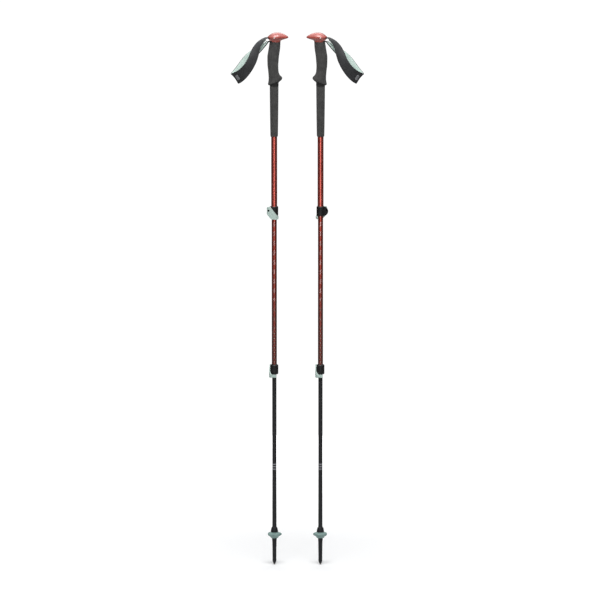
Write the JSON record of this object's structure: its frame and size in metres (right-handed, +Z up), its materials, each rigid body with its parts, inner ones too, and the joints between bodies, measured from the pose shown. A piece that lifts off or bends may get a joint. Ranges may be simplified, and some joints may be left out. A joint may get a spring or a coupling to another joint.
{
  "type": "trekking poles",
  "caption": "Pair of telescoping trekking poles with foam grips, padded wrist straps, cam-lever section locks, trekking baskets and carbide tips.",
  "frame": {"origin": "on the ground, midway between the tips of the two upright poles", "axes": "+Z up along the poles, +X from the left pole to the right pole, -Y the side that the levers of the left pole's upper lock and the strap faces look to"},
  "size_m": [0.3418, 0.0381, 1.3955],
  "materials": {
    "knob_plastic": "satin",
    "grip_foam": "matte",
    "strap_webbing": "matte",
    "strap_lining": "matte",
    "strap_patch": "matte",
    "upper_anodised": "satin",
    "middle_anodised": "satin",
    "lower_anodised": "satin",
    "lock_plastic": "satin",
    "lever_plastic": "satin",
    "basket_plastic": "satin",
    "ferrule_plastic": "satin",
    "screw_steel": "satin",
    "black_steel": "satin",
    "carbide": "satin",
    "bushing_nylon": "satin"
  },
  "bodies": {
    "left_handle": {"left_knob": "knob_plastic", "left_strap_pin": "screw_steel", "left_strap_wedge": "knob_plastic", "left_strap_anchor": "strap_webbing", "left_foam_grip": "grip_foam", "left_foam_extension": "grip_foam", "left_upper_shaft": "upper_anodised", "left_upper_shaft_plug": "bushing_nylon", "left_upper_lock_collar": "lock_plastic", "left_upper_lock_pin": "black_steel", "left_upper_lock_screw": "black_steel"},
    "left_strap": {"left_strap_webbing": "strap_webbing", "left_strap_lining": "strap_lining", "left_strap_patch": "strap_patch"},
    "left_upper_lever": {"left_upper_lock_lever": "lever_plastic"},
    "left_middle": {"left_middle_shaft": "middle_anodised", "left_middle_shaft_bushing": "bushing_nylon", "left_lower_lock_collar": "lock_plastic", "left_lower_lock_pin": "black_steel", "left_lower_lock_screw": "black_steel"},
    "left_lower_lever": {"left_lower_lock_lever": "lever_plastic"},
    "left_lower": {"left_lower_shaft": "lower_anodised", "left_lower_shaft_bushing": "bushing_nylon", "left_ferrule": "ferrule_plastic", "left_basket": "basket_plastic", "left_carbide_tip": "carbide"},
    "right_handle": {"right_knob": "knob_plastic", "right_strap_pin": "screw_steel", "right_strap_wedge": "knob_plastic", "right_strap_anchor": "strap_webbing", "right_foam_grip": "grip_foam", "right_foam_extension": "grip_foam", "right_upper_shaft": "upper_anodised", "right_upper_shaft_plug": "bushing_nylon", "right_upper_lock_collar": "lock_plastic", "right_upper_lock_pin": "black_steel", "right_upper_lock_screw": "black_steel"},
    "right_strap": {"right_strap_webbing": "strap_webbing", "right_strap_lining": "strap_lining", "right_strap_patch": "strap_patch"},
    "right_upper_lever": {"right_upper_lock_lever": "lever_plastic"},
    "right_middle": {"right_middle_shaft": "middle_anodised", "right_middle_shaft_bushing": "bushing_nylon", "right_lower_lock_collar": "lock_plastic", "right_lower_lock_pin": "black_steel", "right_lower_lock_screw": "black_steel"},
    "right_lower_lever": {"right_lower_lock_lever": "lever_plastic"},
    "right_lower": {"right_lower_shaft": "lower_anodised", "right_lower_shaft_bushing": "bushing_nylon", "right_ferrule": "ferrule_plastic", "right_basket": "basket_plastic", "right_carbide_tip": "carbide"}
  },
  "joints": [
    {"name": "left_strap_swing", "type": "hinge", "parent": "left_handle", "child": "left_strap", "pos_m": [-0.0775, 0, 1.377], "axis": [0, 1, 0], "range_deg": [-10, 25]},
    {"name": "left_upper_lever_flip", "type": "hinge", "parent": "left_handle", "child": "left_upper_lever", "pos_m": [-0.0752, -0.0072, 0.9335], "axis": [0, 0, -1], "range_deg": [0, 95]},
    {"name": "left_middle_slide", "type": "slide", "parent": "left_handle", "child": "left_middle", "axis": [0, 0, 1], "range_m": [0, 0.373]},
    {"name": "left_lower_lever_flip", "type": "hinge", "parent": "left_middle", "child": "left_lower_lever", "pos_m": [-0.0672, 0.0152, 0.5185], "axis": [0, 0, -1], "range_deg": [0, 95]},
    {"name": "left_lower_slide", "type": "slide", "parent": "left_middle", "child": "left_lower", "axis": [0, 0, 1], "range_m": [0, 0.39]},
    {"name": "poles_apart", "type": "slide", "parent": "left_handle", "child": "right_handle", "axis": [1, 0, 0], "range_m": [0, 0.4]},
    {"name": "right_strap_swing", "type": "hinge", "parent": "right_handle", "child": "right_strap", "pos_m": [0.0775, 0, 1.377], "axis": [0, -1, 0], "range_deg": [-10, 25]},
    {"name": "right_upper_lever_flip", "type": "hinge", "parent": "right_handle", "child": "right_upper_lever", "pos_m": [0.07301, 0.01066, 0.9335], "axis": [0, 0, -1], "range_deg": [0, 95]},
    {"name": "right_middle_slide", "type": "slide", "parent": "right_handle", "child": "right_middle", "axis": [0, 0, 1], "range_m": [0, 0.373]},
    {"name": "right_lower_lever_flip", "type": "hinge", "parent": "right_middle", "child": "right_lower_lever", "pos_m": [0.05075, 0.01405, 0.5185], "axis": [0, 0, -1], "range_deg": [0, 95]},
    {"name": "right_lower_slide", "type": "slide", "parent": "right_middle", "child": "right_lower", "axis": [0, 0, 1], "range_m": [0, 0.39]}
  ]
}
